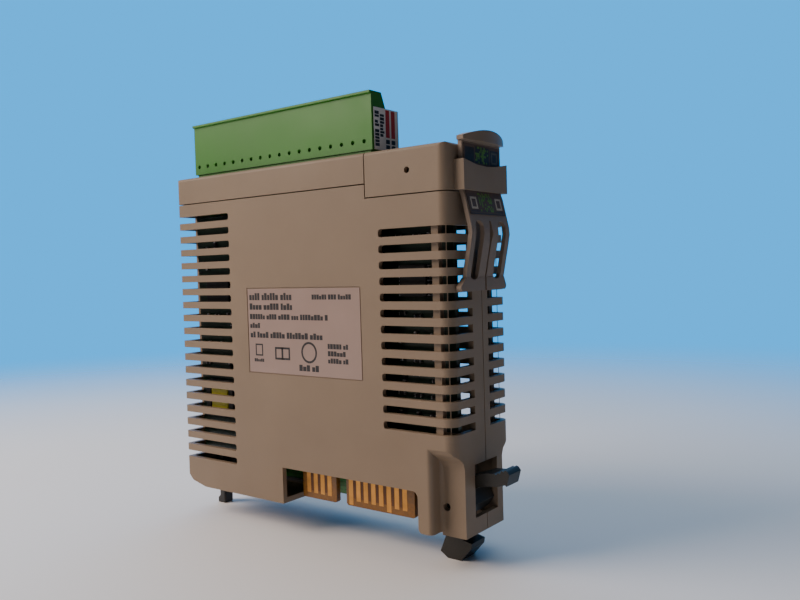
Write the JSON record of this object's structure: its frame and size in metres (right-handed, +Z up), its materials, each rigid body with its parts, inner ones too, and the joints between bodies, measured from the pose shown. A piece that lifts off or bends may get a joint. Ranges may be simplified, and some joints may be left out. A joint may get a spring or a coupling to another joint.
{
  "type": "plc module",
  "caption": "Slim rack module for a programmable controller, with a vented split case, a pull-off terminal plug, a card-edge bus tab, a sliding tag and a snap lock lever.",
  "frame": {"origin": "centre of the bounding box's bottom face, where the lock lever's hook and the rear catch touch the surface it stands on", "axes": "+X along the module towards the lock lever's grip, +Y through its width away from the rating label, +Z up from the card edge to the terminal plug"},
  "size_m": [0.1084, 0.0266, 0.1181],
  "materials": {
    "case_plastic": "fine spark-eroded texture, warm grey-beige",
    "tag_plastic": "smooth moulded, warm grey-beige",
    "terminal_green": "satin moulded green nylon",
    "dark_plastic": "charcoal moulded acetal with a slight sheen",
    "connector_plastic": "black moulded",
    "paper_label": "printed polyester label, satin",
    "dark_label": "printed dark label, satin",
    "circuit_board": "green solder mask over glass laminate",
    "chip_epoxy": "moulded black epoxy",
    "transformer_tape": "yellow wound tape",
    "capacitor_can": "bright drawn can",
    "screw_steel": "zinc-plated, satin",
    "pin_steel": "ground pin",
    "spring_steel": "drawn wire",
    "smoked_window": "smoked polycarbonate, polished",
    "display_panel": "dark display glass",
    "lamp_lens": "frosted light pipe, pale green"
  },
  "bodies": {
    "case": {"case_near_half": "case_plastic", "case_far_half": "case_plastic", "front_frame": "case_plastic", "display_bezel": "case_plastic", "bezel_peg": "dark_plastic", "display_window": "smoked_window", "display_panel": "display_panel", "display_board": "circuit_board", "status_light_pipe": "lamp_lens", "rating_label": "paper_label", "wiring_strip_label": "paper_label", "rear_catch": "dark_plastic", "main_board": "circuit_board", "second_board": "circuit_board", "board_connector": "connector_plastic", "power_converter": "chip_epoxy", "bus_chip": "chip_epoxy", "input_converter_chip": "chip_epoxy", "output_converter_chip": "chip_epoxy", "isolation_transformer": "transformer_tape", "capacitor_1": "capacitor_can", "capacitor_2": "capacitor_can", "capacitor_3": "capacitor_can", "isolator_1": "chip_epoxy", "isolator_2": "chip_epoxy", "isolator_3": "chip_epoxy", "isolator_4": "chip_epoxy", "terminal_header": "terminal_green", "contact_pins": "pin_steel", "lever_pin": "pin_steel"},
    "id_tag": {"id_tag": "tag_plastic", "tag_label": "dark_label"},
    "lock_lever": {"lock_lever": "dark_plastic", "lever_spring": "spring_steel"},
    "terminal_plug": {"terminal_plug": "terminal_green", "strip_gauge_label": "paper_label"},
    "terminal_screw_01": {"terminal_screw_01": "screw_steel"},
    "terminal_screw_02": {"terminal_screw_02": "screw_steel"},
    "terminal_screw_03": {"terminal_screw_03": "screw_steel"},
    "terminal_screw_04": {"terminal_screw_04": "screw_steel"},
    "terminal_screw_05": {"terminal_screw_05": "screw_steel"},
    "terminal_screw_06": {"terminal_screw_06": "screw_steel"},
    "terminal_screw_07": {"terminal_screw_07": "screw_steel"},
    "terminal_screw_08": {"terminal_screw_08": "screw_steel"},
    "terminal_screw_09": {"terminal_screw_09": "screw_steel"},
    "terminal_screw_10": {"terminal_screw_10": "screw_steel"},
    "terminal_screw_11": {"terminal_screw_11": "screw_steel"},
    "terminal_screw_12": {"terminal_screw_12": "screw_steel"},
    "terminal_screw_13": {"terminal_screw_13": "screw_steel"},
    "terminal_screw_14": {"terminal_screw_14": "screw_steel"},
    "terminal_screw_15": {"terminal_screw_15": "screw_steel"},
    "terminal_screw_16": {"terminal_screw_16": "screw_steel"},
    "terminal_screw_17": {"terminal_screw_17": "screw_steel"},
    "terminal_screw_18": {"terminal_screw_18": "screw_steel"}
  },
  "joints": [
    {"name": "id_tag_slide", "type": "slide", "parent": "case", "child": "id_tag", "axis": [0, 0, 1], "range_m": [-0.0042, 0]},
    {"name": "lock_lever_turn", "type": "hinge", "parent": "case", "child": "lock_lever", "pos_m": [0.03948, 0.0009, 0.01475], "axis": [0, 1, 0], "range_deg": [0, 25], "stiffness_Nm_per_rad": 0.05, "springref_deg": -22.92},
    {"name": "plug_pull", "type": "slide", "parent": "case", "child": "terminal_plug", "axis": [0, 0, 1], "range_m": [0, 0.014]},
    {"name": "screw_01_turn", "type": "hinge", "parent": "terminal_plug", "child": "terminal_screw_01", "pos_m": [-0.04643, -0.0087, 0.113], "axis": [0, 0, 1], "continuous": true},
    {"name": "screw_02_turn", "type": "hinge", "parent": "terminal_plug", "child": "terminal_screw_02", "pos_m": [-0.04262, -0.0087, 0.113], "axis": [0, 0, 1], "continuous": true},
    {"name": "screw_03_turn", "type": "hinge", "parent": "terminal_plug", "child": "terminal_screw_03", "pos_m": [-0.0388, -0.0087, 0.113], "axis": [0, 0, 1], "continuous": true},
    {"name": "screw_04_turn", "type": "hinge", "parent": "terminal_plug", "child": "terminal_screw_04", "pos_m": [-0.03499, -0.0087, 0.113], "axis": [0, 0, 1], "continuous": true},
    {"name": "screw_05_turn", "type": "hinge", "parent": "terminal_plug", "child": "terminal_screw_05", "pos_m": [-0.03119, -0.0087, 0.113], "axis": [0, 0, 1], "continuous": true},
    {"name": "screw_06_turn", "type": "hinge", "parent": "terminal_plug", "child": "terminal_screw_06", "pos_m": [-0.02738, -0.0087, 0.113], "axis": [0, 0, 1], "continuous": true},
    {"name": "screw_07_turn", "type": "hinge", "parent": "terminal_plug", "child": "terminal_screw_07", "pos_m": [-0.02356, -0.0087, 0.113], "axis": [0, 0, 1], "continuous": true},
    {"name": "screw_08_turn", "type": "hinge", "parent": "terminal_plug", "child": "terminal_screw_08", "pos_m": [-0.01976, -0.0087, 0.113], "axis": [0, 0, 1], "continuous": true},
    {"name": "screw_09_turn", "type": "hinge", "parent": "terminal_plug", "child": "terminal_screw_09", "pos_m": [-0.01595, -0.0087, 0.113], "axis": [0, 0, 1], "continuous": true},
    {"name": "screw_10_turn", "type": "hinge", "parent": "terminal_plug", "child": "terminal_screw_10", "pos_m": [-0.01213, -0.0087, 0.113], "axis": [0, 0, 1], "continuous": true},
    {"name": "screw_11_turn", "type": "hinge", "parent": "terminal_plug", "child": "terminal_screw_11", "pos_m": [-0.00833, -0.0087, 0.113], "axis": [0, 0, 1], "continuous": true},
    {"name": "screw_12_turn", "type": "hinge", "parent": "terminal_plug", "child": "terminal_screw_12", "pos_m": [-0.00451, -0.0087, 0.113], "axis": [0, 0, 1], "continuous": true},
    {"name": "screw_13_turn", "type": "hinge", "parent": "terminal_plug", "child": "terminal_screw_13", "pos_m": [-0.00071, -0.0087, 0.113], "axis": [0, 0, 1], "continuous": true},
    {"name": "screw_14_turn", "type": "hinge", "parent": "terminal_plug", "child": "terminal_screw_14", "pos_m": [0.00311, -0.0087, 0.113], "axis": [0, 0, 1], "continuous": true},
    {"name": "screw_15_turn", "type": "hinge", "parent": "terminal_plug", "child": "terminal_screw_15", "pos_m": [0.00692, -0.0087, 0.113], "axis": [0, 0, 1], "continuous": true},
    {"name": "screw_16_turn", "type": "hinge", "parent": "terminal_plug", "child": "terminal_screw_16", "pos_m": [0.01073, -0.0087, 0.113], "axis": [0, 0, 1], "continuous": true},
    {"name": "screw_17_turn", "type": "hinge", "parent": "terminal_plug", "child": "terminal_screw_17", "pos_m": [0.01453, -0.0087, 0.113], "axis": [0, 0, 1], "continuous": true},
    {"name": "screw_18_turn", "type": "hinge", "parent": "terminal_plug", "child": "terminal_screw_18", "pos_m": [0.01835, -0.0087, 0.113], "axis": [0, 0, 1], "continuous": true}
  ]
}
